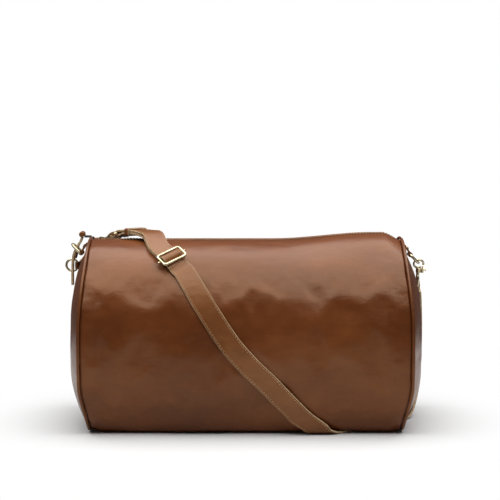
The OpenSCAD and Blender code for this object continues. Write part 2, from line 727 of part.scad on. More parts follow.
module hook_eye() {
    color(metal) {
        translate([0, 0, eye_z])
            rotate([0, 90, 0])
            rotate_extrude($fn = 64)
            translate([eye_r, 0])
            circle(d = eye_wire, $fn = 24);
        translate([0, 0, eye_z + eye_r + 0.6])
            cylinder(h = head_top - 0.3 - eye_z - eye_r - 0.6, d = shank_d, $fn = 48);
        translate([0, 0, head_top - 1.4]) cylinder(h = 1.2, d = head_d, $fn = 48);
    }
}

module hook_bolt() {
    color(metal) {
        translate([bolt_x, 0, -12.5]) cylinder(h = 9, d = bolt_d, $fn = 32);
        translate([bolt_x, 0, -11.2]) rotate([0, 90, 0]) cylinder(h = 4.4, d = 1.8, $fn = 24);
        translate([bolt_x + 4.2, 0, -11.2]) rotate([0, 90, 0]) cylinder(h = 1.4, d = 3.4, $fn = 24);
    }
}

// The left hook's loop stands front to back, the right one left to right
module on_left_hook() { at(left_loop) rotate([0, left_hook_tilt, 0]) children(); }
module on_right_hook() { at(right_loop) rotate([right_hook_tilt, 0, 0]) children(); }
module left_hook() { on_left_hook() rotate([0, 0, 90]) hook_body(); }
module left_hook_bolt() { on_left_hook() rotate([0, 0, 90]) hook_bolt(); }
module left_hook_eye() { on_left_hook() rotate([0, 0, 90]) hook_eye(); }
module right_hook() { on_right_hook() hook_body(); }
module right_hook_bolt() { on_right_hook() hook_bolt(); }
module right_hook_eye() { on_right_hook() hook_eye(); }

// ---- strap and its fittings ----
module shoulder_strap() {
    color(leather)
    intersection() {
        ribbon(strap_route, strap_w, strap_w, strap_t, strap_t, 2);
        translate([-half_l - 50, -half_d - 50, floor_gap]) cube([body_l + 100, body_d + 100, 400]);
    }
}
module strap_left_tab() {
    color(leather)
    ribbon(left_tab_route, strap_w, 8, 2.4, 1.2, 2);
}
module strap_right_tab() {
    color(leather)
    ribbon(right_tab_route, 8, 8, 1.4, 1.4, 2);
}

// Frame that follows the strap: X across the strap, Y along it towards the top
module on_strap(x, u, off, spin) {
    p = skin_pt(x, u, off);
    n = unit(skin_pt(x, u, off + 1) - p);
    translate(p)
    rotate([acos(n[2]), 0, 0])
    rotate([0, 0, spin])
    children();
}

glide_w = 41;
glide_l = 25;
glide_spin = 36;
module rounded_loop(w, l, r, d) {
    hw = (w - d) / 2 - r;
    hl = (l - d) / 2 - r;
    for (sx = [-1, 1], sy = [-1, 1])
        translate([sx * hw, sy * hl, 0])
            rotate([0, 0, sx > 0 ? (sy > 0 ? 0 : 270) : (sy > 0 ? 90 : 180)])
            rotate_extrude(angle = 90, $fn = 48)
            translate([r, 0])
            circle(d = d, $fn = 24);
    for (sy = [-1, 1]) translate([0, sy * (hl + r), 0]) rod_x(d, 2 * hw);
    for (sx = [-1, 1]) translate([sx * (hw + r), 0, 0]) rod_y(d, 2 * hl);
}

glide_at = [-106.2, -0.393];
bar_off = 8.7;
bar_d = 2.6;
module tri_glide_frame() {
    color(metal)
    on_strap(glide_at[0], glide_at[1], glide_off, glide_spin)
    difference() {
        rounded_loop(glide_w, glide_l, 4, wire_d);
        translate([0, 0, bar_off - glide_off]) rod_x(bar_d + 0.1, glide_w + 10);
    }
}
module tri_glide_bar() {
    color(metal)
    on_strap(glide_at[0], glide_at[1], bar_off, glide_spin)
        rod_x(bar_d, glide_w + 5);
}

end_ring_w = 41;
end_ring_d = 3;
end_ring_spin = atan2(-ring_way[0], ring_way[1]);
end_ring_gap = norm(ring_far - ring_near);
end_ring_tilt = -asin((ring_near[2] - ring_far[2]) / end_ring_gap);
module strap_end_ring() {
    color(metal)
    at((ring_near + ring_far) / 2)
    rotate([0, 0, end_ring_spin])
    rotate([end_ring_tilt, 0, 0])
        rounded_loop(end_ring_w, end_ring_gap + end_ring_d, 2.5, end_ring_d);
}

keeper_w = 10;
module strap_keeper() {
    inner_w = strap_w + 1.4;
    inner_t = 8.2;
    wall = 1.5;
    color(leather)
    translate([-164.4, 5.8, (bridge_z + upper_z) / 2 - 0.2])
    rotate([0, 0, 39.3])
    rotate([90, 0, 0])
        linear_extrude(keeper_w, center = true)
        difference() {
            square([inner_w + 2 * wall, inner_t + 2 * wall], center = true);
            square([inner_w, inner_t], center = true);
        }
}

module cap(p, n) {
    turn = acos(n[2] / norm(n));
    axis = cross([0, 0, 1], n);
    color(metal)
    translate(p)
    rotate(a = turn, v = axis)
        rivet_head();
}
module strap_left_rivet() {
    row = left_tab_route[8];
    n = unit(row[1]);
    cap(row[0] + n * 1.3, n);
}
module strap_right_rivet() {
    row = strap_route[1];
    n = unit(row[1]);
    cap(row[0] + n * (strap_t / 2 + 0.1), n);
}

base_panel();
front_panel();
back_panel();
left_end_panel();
right_end_panel();
left_piping();
right_piping();
base_board();
lining();
front_top_flap();
back_top_flap();
zip_tape_front();
zip_tape_back();
zip_tape_left_end();
zip_tape_right_end();
zip_teeth_front();
zip_teeth_back();
zip_teeth_left_end();
zip_teeth_right_end();
zip_top_stop();
zip_bottom_stop();
zip_tail();
zip_tail_knob();
zip_tail_thong();
zip_slider();
zip_pull();
left_ring();
right_ring();
left_chape();
right_chape();
left_chape_rivet();
right_chape_rivet();
left_hook_eye();
right_hook_eye();
left_hook();
right_hook();
left_hook_bolt();
right_hook_bolt();
shoulder_strap();
strap_left_tab();
strap_right_tab();
strap_left_rivet();
strap_right_rivet();
strap_end_ring();
strap_keeper();
tri_glide_frame();
tri_glide_bar();
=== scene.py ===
import math

import bpy
import numpy as np
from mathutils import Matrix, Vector, noise

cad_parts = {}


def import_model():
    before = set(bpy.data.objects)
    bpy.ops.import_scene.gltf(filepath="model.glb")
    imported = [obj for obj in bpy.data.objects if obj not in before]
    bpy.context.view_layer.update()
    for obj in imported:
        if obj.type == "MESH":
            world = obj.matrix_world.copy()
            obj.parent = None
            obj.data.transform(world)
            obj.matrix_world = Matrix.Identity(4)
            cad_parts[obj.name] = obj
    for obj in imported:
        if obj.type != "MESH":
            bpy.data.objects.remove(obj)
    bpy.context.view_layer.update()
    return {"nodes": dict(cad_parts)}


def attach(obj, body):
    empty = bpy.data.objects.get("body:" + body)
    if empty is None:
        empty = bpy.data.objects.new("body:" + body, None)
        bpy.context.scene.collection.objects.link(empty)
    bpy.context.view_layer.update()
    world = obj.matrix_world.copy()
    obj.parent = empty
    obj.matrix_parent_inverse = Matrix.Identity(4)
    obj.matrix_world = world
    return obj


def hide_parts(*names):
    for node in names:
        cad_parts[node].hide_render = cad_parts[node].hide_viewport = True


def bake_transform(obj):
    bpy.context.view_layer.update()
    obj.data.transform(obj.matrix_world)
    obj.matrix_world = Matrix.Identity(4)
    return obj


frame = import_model()
MM = 0.001

# ---------------------------------------------------------------- driving sizes, in mm
BODY_L = 460
BODY_D = 270
BODY_H = 272
BASE_W = 176
BELLY_Z = 118
END_BULGE = 31
LEATHER_T = 2.4
ZIP_GAP = 9
TEETH_W = 5.6
TOOTH_PITCH = 3
FLAP_Y = 51
STRAP_W = 30
STRAP_T = 3
TAB_T = 2.4
TAB_END_W = 8
THONG_W = 12.6
THONG_T = 3.2
PIPING_D = 4.5
TOP_POWER = 2.3
DOME_POWER = 2.2
DOME_MID_Z = 125
DOME_SINK = 1.2
END_LIFT = 5
RISE_RIGHT = 9.5
RISE_LEFT = 1.5
GAP = 0.3

HALF_L = BODY_L / 2
HALF_D = BODY_D / 2
HALF_BASE = BASE_W / 2
FLAT_L = HALF_L - 18
TOP_RISE = BODY_H - BELLY_Z
SIDE_ROUND = HALF_D - HALF_BASE


# ---------------------------------------------------------------- camera
def make_camera():
    elevation = math.radians(5)
    distance = 2.4
    target = Vector((0.006, 0, 0.2555))
    back = Vector((0, -math.cos(elevation), math.sin(elevation)))
    data = bpy.data.cameras.new("camera")
    data.lens = 116.3
    data.sensor_width = 36
    data.clip_end = 50
    camera = bpy.data.objects.new("camera", data)
    camera.location = target + back * distance
    camera.rotation_euler = (-back).to_track_quat("-Z", "Y").to_euler()
    bpy.context.collection.objects.link(camera)
    bpy.context.scene.camera = camera


make_camera()


# ---------------------------------------------------------------- the section of the bag
def smoothstep(a, b, v):
    t = min(1.0, max(0.0, (v - a) / (b - a)))
    return t * t * (3 - 2 * t)


def sign(v):
    return -1 if v < 0 else 1


def half_point(w):
    """Point (y, z) of half the section: w is 0 on top, 1 at the belly, 2 at the edge of the base
    and 3 in the middle of the base."""
    if w <= 1:
        a = math.radians(90 - 90 * w)
        y = HALF_D * max(0, math.cos(a)) ** (2 / TOP_POWER)
        return y, BELLY_Z + TOP_RISE * max(0, math.sin(a)) ** (2 / TOP_POWER)
    if w <= 2:
        a = math.radians(90 * w - 90)
        return HALF_BASE + SIDE_ROUND * math.cos(a), BELLY_Z * (1 - math.sin(a))
    return HALF_BASE * (3 - w), 0


def half_normal(w):
    y, z = half_point(w)
    if w <= 1:
        v = ((y / HALF_D) ** (TOP_POWER - 1) / HALF_D,
             (max(0, z - BELLY_Z) / TOP_RISE) ** (TOP_POWER - 1) / TOP_RISE)
    elif w <= 2:
        v = ((y - HALF_BASE) / SIDE_ROUND ** 2, (z - BELLY_Z) / BELLY_Z ** 2)
    else:
        v = (0, -1)
    k = math.hypot(*v)
    return v[0] / k, v[1] / k


def wrapped(u):
    """u runs from -3 to 3 round the whole section: brings a place past 3 back onto it."""
    return u - 6 if u > 3 else u


def section_point(u, off):
    y, z = half_point(abs(u))
    ny, nz = half_normal(abs(u))
    return sign(u) * (y + ny * off), z + nz * off


def skin_point(x, u, off):
    y, z = section_point(u, off)
    lift = max(0, abs(x) - FLAT_L) / (HALF_L - FLAT_L) * END_LIFT * max(0, 1 - z / BELLY_Z)
    return Vector((x, y, z + lift))


def u_at(y):
    return sign(y) * (1 - math.degrees(math.acos((abs(y) / HALF_D) ** (TOP_POWER / 2))) / 90)


def dome_point(r, u, off):
    y, z = section_point(u, 0)
    y, z = r * y, DOME_MID_Z + r * (z - DOME_MID_Z)
    x = HALF_L + GAP + (END_BULGE - GAP) * (1 - r ** DOME_POWER) + off
    return Vector((x, y, z + END_LIFT * max(0, 1 - z / BELLY_Z)))


# ---------------------------------------------------------------- node helpers
def new_material(name):
    m = bpy.data.materials.new(name)
    m.use_nodes = True
    tree = m.node_tree
    return m, tree, tree.nodes["Principled BSDF"]


def add_noise(tree, coords, scale, detail=4, rough=0.55):
    n = tree.nodes.new("ShaderNodeTexNoise")
    n.inputs["Scale"].default_value = scale
    n.inputs["Detail"].default_value = detail
    n.inputs["Roughness"].default_value = rough
    tree.links.new(coords, n.inputs["Vector"])
    return n.outputs["Fac"]


def add_ramp(tree, fac, stops):
    r = tree.nodes.new("ShaderNodeValToRGB")
    ramp = r.color_ramp
    while len(ramp.elements) < len(stops):
        ramp.elements.new(0.5)
    for e, (pos, colour) in zip(ramp.elements, stops):
        e.position = pos
        e.color = (*colour, 1)
    tree.links.new(fac, r.inputs["Fac"])
    return r.outputs["Color"]


def add_mix(tree, fac, a, b, blend="MIX"):
    m = tree.nodes.new("ShaderNodeMix")
    m.data_type = "RGBA"
    m.blend_type = blend
    if isinstance(fac, (int, float)):
        m.inputs["Factor"].default_value = fac
    else:
        tree.links.new(fac, m.inputs["Factor"])
    for value, socket in ((a, m.inputs["A"]), (b, m.inputs["B"])):
        if isinstance(value, tuple):
            socket.default_value = (*value, 1)
        else:
            tree.links.new(value, socket)
    return m.outputs["Result"]


def add_bump(tree, height, strength, distance, normal=None):
    b = tree.nodes.new("ShaderNodeBump")
    b.inputs["Strength"].default_value = strength
    b.inputs["Distance"].default_value = distance
    tree.links.new(height, b.inputs["Height"])
    if normal is not None:
        tree.links.new(normal, b.inputs["Normal"])
    return b.outputs["Normal"]


def object_coords(tree):
    return tree.nodes.new("ShaderNodeTexCoord").outputs["Object"]


def leather_material(name, dark, mid, light, rough=(0.24, 0.42), grain=0.3):
    """Waxed pull-up leather: mottled colour, paler scuffs, fine pores and a warm sheen."""
    m, tree, shader = new_material(name)
    co = object_coords(tree)
    stretch = tree.nodes.new("ShaderNodeMapping")
    stretch.inputs["Scale"].default_value = (0.55, 1, 1)
    tree.links.new(co, stretch.inputs["Vector"])
    wide = stretch.outputs["Vector"]
    clouds = add_noise(tree, wide, 8, 6, 0.62)
    base = add_ramp(tree, clouds, [(0.32, dark), (0.5, mid), (0.74, light)])
    mottle = add_noise(tree, wide, 45, 5, 0.65)
    mottle_mask = add_ramp(tree, mottle, [(0.5, (0, 0, 0)), (0.78, (0.5, 0.5, 0.5))])
    colour = add_mix(tree, mottle_mask, base, light)
    scuffs = tree.nodes.new("ShaderNodeTexNoise")
    scuffs.noise_type = "RIDGED_MULTIFRACTAL"
    scuffs.inputs["Scale"].default_value = 13
    scuffs.inputs["Detail"].default_value = 4
    scuffs.inputs["Distortion"].default_value = 0.8
    tree.links.new(wide, scuffs.inputs["Vector"])
    scuff_mask = add_ramp(tree, scuffs.outputs["Fac"], [(0.8, (0, 0, 0)), (1.0, (0.3, 0.3, 0.3))])
    colour = add_mix(tree, scuff_mask, colour, light)
    tree.links.new(colour, shader.inputs["Base Color"])
    pores = tree.nodes.new("ShaderNodeTexVoronoi")
    pores.inputs["Scale"].default_value = 620
    tree.links.new(co, pores.inputs["Vector"])
    fine = add_bump(tree, pores.outputs["Distance"], grain, 0.00018)
    broad = add_bump(tree, add_noise(tree, wide, 30, 6, 0.6), 0.55, 0.0022, fine)
    tree.links.new(broad, shader.inputs["Normal"])
    gloss = tree.nodes.new("ShaderNodeMapRange")
    gloss.inputs["To Min"].default_value = rough[0]
    gloss.inputs["To Max"].default_value = rough[1]
    tree.links.new(mottle, gloss.inputs["Value"])
    tree.links.new(gloss.outputs["Result"], shader.inputs["Roughness"])
    shader.inputs["Specular IOR Level"].default_value = 0.5
    shader.inputs["Specular Tint"].default_value = (1, 0.74, 0.52, 1)
    return m


def raw_edge_material():
    m, tree, shader = new_material("raw_edge")
    co = object_coords(tree)
    fibres = add_noise(tree, co, 260, 4)
    colour = add_ramp(tree, fibres, [(0.3, (0.33, 0.22, 0.11)), (0.7, (0.58, 0.43, 0.25))])
    tree.links.new(colour, shader.inputs["Base Color"])
    tree.links.new(add_bump(tree, add_noise(tree, co, 900, 3), 0.5, 0.0003), shader.inputs["Normal"])
    shader.inputs["Roughness"].default_value = 0.75
    return m


def metal_material(name, dark, light, rough=(0.22, 0.42)):
    """Antique plated metal: darker in patches, with faint wear."""
    m, tree, shader = new_material(name)
    co = object_coords(tree)
    tarnish = add_noise(tree, co, 160, 5, 0.6)
    tree.links.new(add_ramp(tree, tarnish, [(0.35, dark), (0.62, light)]), shader.inputs["Base Color"])
    shader.inputs["Metallic"].default_value = 1
    gloss = tree.nodes.new("ShaderNodeMapRange")
    gloss.inputs["To Min"].default_value = rough[1]
    gloss.inputs["To Max"].default_value = rough[0]
    tree.links.new(tarnish, gloss.inputs["Value"])
    tree.links.new(gloss.outputs["Result"], shader.inputs["Roughness"])
    tree.links.new(add_bump(tree, add_noise(tree, co, 700, 3), 0.2, 0.0001), shader.inputs["Normal"])
    return m


def cloth_material(name, dark, light, pitch):
    """Plain weave: two crossed waves, finer as pitch grows."""
    m, tree, shader = new_material(name)
    co = object_coords(tree)
    heights = []
    for direction in ("X", "Y"):
        wave = tree.nodes.new("ShaderNodeTexWave")
        wave.bands_direction = direction
        wave.inputs["Scale"].default_value = pitch
        wave.inputs["Distortion"].default_value = 0.6
        tree.links.new(co, wave.inputs["Vector"])
        heights.append(wave.outputs["Color"])
    weave = add_mix(tree, 0.5, heights[0], heights[1])
    fuzz = add_noise(tree, co, 60, 5)
    colour = add_ramp(tree, fuzz, [(0.3, dark), (0.7, light)])
    tree.links.new(add_mix(tree, 0.35, colour, weave, "MULTIPLY"), shader.inputs["Base Color"])
    tree.links.new(add_bump(tree, weave, 0.5, 0.0003), shader.inputs["Normal"])
    shader.inputs["Roughness"].default_value = 0.9
    shader.inputs["Sheen Weight"].default_value = 0.2
    return m


LEATHER = leather_material(
    "bag_leather", (0.078, 0.018, 0.0035), (0.112, 0.028, 0.0055), (0.17, 0.05, 0.012))
STRAP_LEATHER = leather_material(
    "strap_leather", (0.11, 0.035, 0.009), (0.155, 0.052, 0.015), (0.23, 0.087, 0.029), grain=0.25)
PIPING_LEATHER = leather_material(
    "piping_leather", (0.075, 0.02, 0.005), (0.11, 0.031, 0.008), (0.17, 0.055, 0.016))
RAW_EDGE = raw_edge_material()
BRASS = metal_material("antique_brass", (0.36, 0.29, 0.17), (0.72, 0.63, 0.43))
ZIP_METAL = metal_material("zip_metal", (0.2, 0.16, 0.09), (0.5, 0.42, 0.26))
LINING_CLOTH = cloth_material("lining_cloth", (0.3, 0.23, 0.16), (0.42, 0.34, 0.25), 900)
TAPE_CLOTH = cloth_material("zip_tape_cloth", (0.03, 0.022, 0.016), (0.07, 0.05, 0.036), 1500)
BOARD = cloth_material("board_cover", (0.03, 0.025, 0.02), (0.06, 0.05, 0.04), 700)


def thread_material():
    m, tree, shader = new_material("thread")
    co = object_coords(tree)
    twist = add_noise(tree, co, 500, 2)
    colour = add_ramp(tree, twist, [(0.3, (0.3, 0.18, 0.08)), (0.7, (0.52, 0.35, 0.18))])
    tree.links.new(colour, shader.inputs["Base Color"])
    tree.links.new(add_bump(tree, add_noise(tree, co, 2500, 2), 0.4, 0.0001), shader.inputs["Normal"])
    shader.inputs["Roughness"].default_value = 0.7
    return m


THREAD = thread_material()


# ---------------------------------------------------------------- mesh helpers
def make_mesh(name, points, faces, material, smooth=True):
    """A mesh object from points in mm."""
    mesh = bpy.data.meshes.new(name)
    mesh.from_pydata([tuple(p * MM for p in q) for q in points], [], faces)
    mesh.update()
    ob = bpy.data.objects.new(name, mesh)
    bpy.context.collection.objects.link(ob)
    for m in material if isinstance(material, list) else [material]:
        mesh.materials.append(m)
    mesh.polygons.foreach_set("use_smooth", [smooth] * len(mesh.polygons))
    return ob


def grid_faces(rows, cols, start=0, wrap=False, flip=False):
    out = []
    for i in range(rows - 1):
        for j in range(cols if wrap else cols - 1):
            k = (j + 1) % cols
            near, far = start + i * cols, start + (i + 1) * cols
            f = (near + j, near + k, far + k, far + j)
            out.append(f[::-1] if flip else f)
    return out


def span(a, b, n):
    return [a + (b - a) * i / n for i in range(n + 1)]


def apply_modifiers(ob):
    graph = bpy.context.evaluated_depsgraph_get()
    mesh = bpy.data.meshes.new_from_object(ob.evaluated_get(graph))
    ob.modifiers.clear()
    old = ob.data
    ob.data = mesh
    bpy.data.meshes.remove(old)


def thicken(ob, mm):
    m = ob.modifiers.new("thickness", "SOLIDIFY")
    m.thickness = mm * MM
    m.offset = -1


CLOTH_FRAMES = 14
CLOTH_CAP = 2.2


def settle(ob, pins, pressure):
    """Lets a leather sheet settle as cloth, held by its pin weights, moving at most CLOTH_CAP mm."""
    group = ob.vertex_groups.new(name="pins")
    for i, w in enumerate(pins):
        group.add([i], w, "REPLACE")
    rest = np.array([v.co for v in ob.data.vertices])
    m = ob.modifiers.new("cloth", "CLOTH")
    s = m.settings
    s.vertex_group_mass = "pins"
    s.quality = 6
    s.mass = 0.6
    s.tension_stiffness = 60
    s.compression_stiffness = 60
    s.shear_stiffness = 30
    s.bending_stiffness = 4
    s.shrink_min = -0.004
    s.use_pressure = True
    s.uniform_pressure_force = pressure
    s.effector_weights.gravity = 0
    m.collision_settings.use_collision = False
    m.point_cache.frame_end = CLOTH_FRAMES
    scene = bpy.context.scene
    for f in range(1, CLOTH_FRAMES + 1):
        scene.frame_set(f)
    graph = bpy.context.evaluated_depsgraph_get()
    posed = np.array([v.co for v in ob.evaluated_get(graph).data.vertices])
    ob.modifiers.remove(m)
    ob.vertex_groups.clear()
    move = posed - rest
    far = np.linalg.norm(move, axis=1, keepdims=True)
    limit = CLOTH_CAP * MM
    move *= np.where(far > 1e-9, limit * np.tanh(far / limit) / np.maximum(far, 1e-9), 0)
    ob.data.vertices.foreach_set("co", (rest + move).ravel())
    ob.data.update()
    scene.frame_set(1)


# ---------------------------------------------------------------- ribbons
QUARTER_TURN = 90
LEAST_LEAN = 0.05
LEAST_SLANT = 0.55
SINGLE_OFF = 3
LOWER_OFF = 1.9
UPPER_OFF = 5.4
BRIDGE_Z = 280.7
UPPER_Z = BRIDGE_Z + 3.5
RING_NEAR = Vector((-181, 26.3, 279))
RING_FAR = Vector((-188.6, 35.6, 276.4))
RING_WAY = Vector((-0.633, 0.774, 0))
UP = Vector((0, 0, 1))


def row(point, out, lean=0):
    """One row of a route: a point, the ribbon's outward side and how far its cross line leans."""
    return Vector(point), Vector(out), lean


def on_skin(x, u, off, lean=0):
    p = skin_point(x, u, off)
    return p, skin_point(x, u, off + 1) - p, lean


def on_dome(side, r, u, off):
    p, q, slope = dome_point(r, u, off), section_point(u, 0), 0.45 * r / HALF_D
    return Vector((side * p.x, p.y, p.z)), Vector((side, slope * q[0], slope * (q[1] - DOME_MID_Z))), 0


def round_bar(centre, r, angle, side):
    """A row on a round bar of the end ring, at an angle in degrees above the level."""
    a = math.radians(angle)
    v = side * math.cos(a) * RING_WAY + math.sin(a) * UP
    return centre + r * v, v, 0


def faced_in(place):
    """The same row with its outward side turned to the skin."""
    point, out, lean = place
    return point, -out, lean


# From the right hook down the right end, under the base, up the front, through the
# tri-glide, over the top, round the end ring and back to the tri-glide. Beside the
# tri-glide the rows follow a straight line laid on the skin
STRAP_ROUTE = [
    row((262.2, 41.5, 193.5), (1, 0, 0.1)),
    row((263.6, 47, 175), (1, 0, 0.1)),
    row((265.5, 54, 147), (1, 0, 0)),
    row((265.8, 58, 112), (1, 0, 0)),
    row((264.6, 56, 80), (1, 0, 0), 0.1),
    row((261.4, 50, 50), (0.9, 0.1, -0.3), 0.4),
    row((256, 40, 24), (0.8, 0, -0.5), 0.8),
    row((248, 29, 9.5), (0.5, 0, -0.8), 0.6),
    row((240, 20, 3.2), (0.1, 0, -1), 0.7),
    row((230, 10, 1.8), (0, 0, -1), 0.8),
    row((196, -24, 1.8), (0, 0, -1)),
    row((156, -64, 1.8), (0, 0, -1), -0.5),
    row((128, -92, 1.8), (0, -0.03, -1), -0.9),
    row((115, -105, 2.1), (0, -0.35, -0.94), -1),
    row((105, -114.2, 5.6), (0, -0.6, -0.8), -1),
    row((96.5, -119.4, 12.6), (0, -0.9, -0.4), -1),
    on_skin(79, -1.54, 5, -1),
    on_skin(58, -1.39, 5, -0.8),
    on_skin(31, -1.22, 4.2, -0.4),
    on_skin(3, -1.07, 3.2),
    on_skin(-23, -0.95, SINGLE_OFF),
    on_skin(-54, -0.77, SINGLE_OFF),
    on_skin(-74, -0.62, SINGLE_OFF),
    on_skin(-87, -0.51, SINGLE_OFF),
    on_skin(-93.3, -0.472, 2.4),
    on_skin(-96.8, -0.45, 3.6),
    on_skin(-98.9, -0.439, 4.8),
    on_skin(-100.7, -0.427, 6),
    on_skin(-102.7, -0.415, 9.2),
    on_skin(-104.5, -0.404, 11.9),
    on_skin(-106.2, -0.393, 12.7),
    on_skin(-107.9, -0.382, 11.9),
    on_skin(-109.7, -0.371, 9.3),
    on_skin(-111.6, -0.36, 6.4),
    on_skin(-113.3, -0.348, 5.6),
    on_skin(-115.2, -0.335, UPPER_OFF),
    on_skin(-118.3, -0.314, UPPER_OFF),
    on_skin(-121.8, -0.286, UPPER_OFF),
    on_skin(-127.5, -0.235, UPPER_OFF + 0.8),
    row((-136, -31, 281.6), (0, -0.25, 1)),
    row((-145, -18, UPPER_Z - 0.6), (0, -0.1, 1)),
    row((-154, -7, UPPER_Z), (0, -0.03, 1)),
    row((-163, 4, UPPER_Z), (0, 0, 1)),
    row((-172, 15, UPPER_Z - 0.4), (-0.05, 0.07, 1)),
    round_bar(RING_NEAR, 3.4, QUARTER_TURN, 1),
    round_bar(RING_NEAR, 3.4, 40, 1),
    round_bar(RING_NEAR, 3.4, 0, 1),
    round_bar(RING_NEAR, 3.4, -40, 1),
    round_bar(RING_NEAR, 3.4, -QUARTER_TURN, 1),
    row((-172, 15, BRIDGE_Z - 1), (-0.1, 0.1, -1)),
    row((-163, 4, BRIDGE_Z), (0, 0, -1)),
    row((-154, -7, BRIDGE_Z), (0, 0, -1)),
    row((-145, -18, BRIDGE_Z - 0.8), (0, 0.1, -1)),
    row((-136, -31, 277.2), (0, 0.25, -1)),
    faced_in(on_skin(-127.5, -0.235, LOWER_OFF + 0.5)),
    faced_in(on_skin(-121.8, -0.286, LOWER_OFF)),
    faced_in(on_skin(-115.2, -0.335, LOWER_OFF)),
    faced_in(on_skin(-111.6, -0.36, LOWER_OFF)),
    faced_in(on_skin(-109.2, -0.375, 2.8)),
]
# Round the end ring's far bar, over the back corner and round the left hook's eye
LEFT_TAB_ROUTE = [
    row((-193.7, 41.8, 272.8), (0.1, -0.25, -1)),
    round_bar(RING_FAR, 3.5, -QUARTER_TURN, -1),
    round_bar(RING_FAR, 3.5, -40, -1),
    round_bar(RING_FAR, 3.5, 0, -1),
    round_bar(RING_FAR, 3.5, 40, -1),
    round_bar(RING_FAR, 3.5, QUARTER_TURN, -1),
    row((-194.4, 42.6, 277.6), (-0.1, 0.2, 1)),
    on_skin(-202, u_at(53), 5.2),
    on_skin(-211, u_at(66), 3.2),
    on_skin(-221, u_at(77), 4),
    on_skin(-231.5, u_at(86), 6.8),
    on_dome(-1, 0.97, u_at(89), 6.6),
    on_dome(-1, 0.88, u_at(84), 5.4),
    on_dome(-1, 0.82, u_at(66), 4.6),
    on_dome(-1, 0.78, u_at(46), 4.2),
    row((-249.4, 32, 231.4), (-1, 0, 0)),
    row((-248.4, 22, 231.7), (-1, 0, 0)),
    row((-248.1, 15, 231.7), (-1, 0, 0)),
    row((-248.8, 10.8, 231.7), (-0.7, 0.7, 0)),
    row((-251.4, 9, 231.7), (0, 1, 0)),
    row((-254.4, 10.8, 231.7), (0.7, 0.7, 0)),
    row((-255.1, 15, 231.7), (1, 0, 0)),
    row((-255.1, 21, 231.7), (1, 0, 0)),
]
# From the right hook's eye to the start of the shoulder strap
RIGHT_TAB_ROUTE = [
    row((255.8, 43.4, 195.2), (-1, 0, 0)),
    row((255.5, 41.4, 199.5), (-1, 0, 0)),
    row((256.2, 39.5, 203.2), (-0.7, -0.35, 0.6)),
    row((259, 38, 205.5), (0, -0.5, 0.87)),
    row((261.8, 39.5, 203.2), (0.7, -0.35, 0.6)),
    row((262.5, 41.2, 199.5), (1, 0, 0)),
    row((262.2, 41.3, 195.4), (1, 0, 0.1)),
]
THONG_ROUTE = [
    row((-242.6, -2.5, 274.6), (-0.7, 0, 0.3)),
    row((-245.5, -2.5, 268), (-0.8, 0, 0.5)),
    row((-250.6, -2.5, 260), (-0.8, 0, 0.5)),
    row((-254.4, -2.5, 252), (-0.9, 0, 0.3)),
    row((-256.5, -2.5, 243), (-1, 0, 0.1)),
    row((-257.2, -2.5, 231), (-1, 0, 0)),
    row((-257.5, -2.5, 218), (-1, 0, 0)),
    row((-257.5, -2.5, 204), (-1, 0, 0)),
]


def spline(a, b, c, d, t):
    """Catmull-Rom curve between b and c."""
    square, cube = 2 * a - 5 * b + 4 * c - d, 3 * b - a - 3 * c + d
    return 0.5 * (2 * b + (c - a) * t + square * t * t + cube * t ** 3)


def smooth_rows(rows, k, steps):
    values = [r[k] for r in rows]
    last = len(values) - 1
    out = []
    for i in range(last):
        four = [values[max(i - 1, 0)], values[i], values[i + 1], values[min(i + 2, last)]]
        out += [spline(*four, j / steps) for j in range(steps)]
    return out + [values[-1]]


def cross_line(square, lean):
    """Square to the ribbon at lean 0, along X at -1 and along Y at 1, for folds at a slant."""
    k = abs(lean)
    if k < LEAST_LEAN:
        return square
    axis = Vector((1, 0, 0)) if lean < 0 else Vector((0, -1, 0))
    return (1 - k) * square + k / max(LEAST_SLANT, square.dot(axis)) * axis


def ribbon_frames(rows, steps=6):
    """Places along a ribbon: point, direction along it, direction across it and outward normal."""
    p, v, lean = (smooth_rows(rows, k, steps) for k in range(3))
    last = len(p) - 1
    frames = []
    for i in range(last + 1):
        along = (p[min(i + 1, last)] - p[max(i - 1, 0)]).normalized()
        across = along.cross(v[i]).normalized()
        out = across.cross(along).normalized()
        frames.append((p[i], along, cross_line(across, lean[i]), out))
    return frames


STRAP_FRAMES = ribbon_frames(STRAP_ROUTE)
TAB_FRAMES = ribbon_frames(LEFT_TAB_ROUTE)
THONG_FRAMES = ribbon_frames(THONG_ROUTE)


def press(points, frames, half_w, half_t, room):
    """Presses skin points, an array in mm, in where a ribbon lies on them."""
    for p, along, across, out in frames:
        heart = Vector((max(-200, min(200, p.x)), 0, DOME_MID_Z))
        facing = out if out.dot(p - heart) > 0 else -out
        d = points - np.array(p)
        h = d @ np.array(facing)
        a = np.abs(d @ np.array(across.normalized()))
        s = np.abs(d @ np.array(along))
        over = h + half_t + room
        soft = np.clip((half_w + 9 - a) / 8, 0, 1) * np.clip((9 - s) / 6, 0, 1)
        soft = soft * soft * (3 - 2 * soft)
        push = np.where((over > 0) & (h < 12), over * soft, 0)
        points -= push[:, None] * np.array(facing)
    return points


def pressed(points, room=0.6):
    """Skin points with room made under the strap and its left tab."""
    array = np.array([tuple(p) for p in points])
    array = press(array, STRAP_FRAMES, STRAP_W / 2, STRAP_T / 2, room)
    return press(array, TAB_FRAMES, STRAP_W / 2, TAB_T / 2, room)


def press_mesh(ob):
    array = pressed([v.co / MM for v in ob.data.vertices]) * MM
    ob.data.vertices.foreach_set("co", array.ravel())
    ob.data.update()


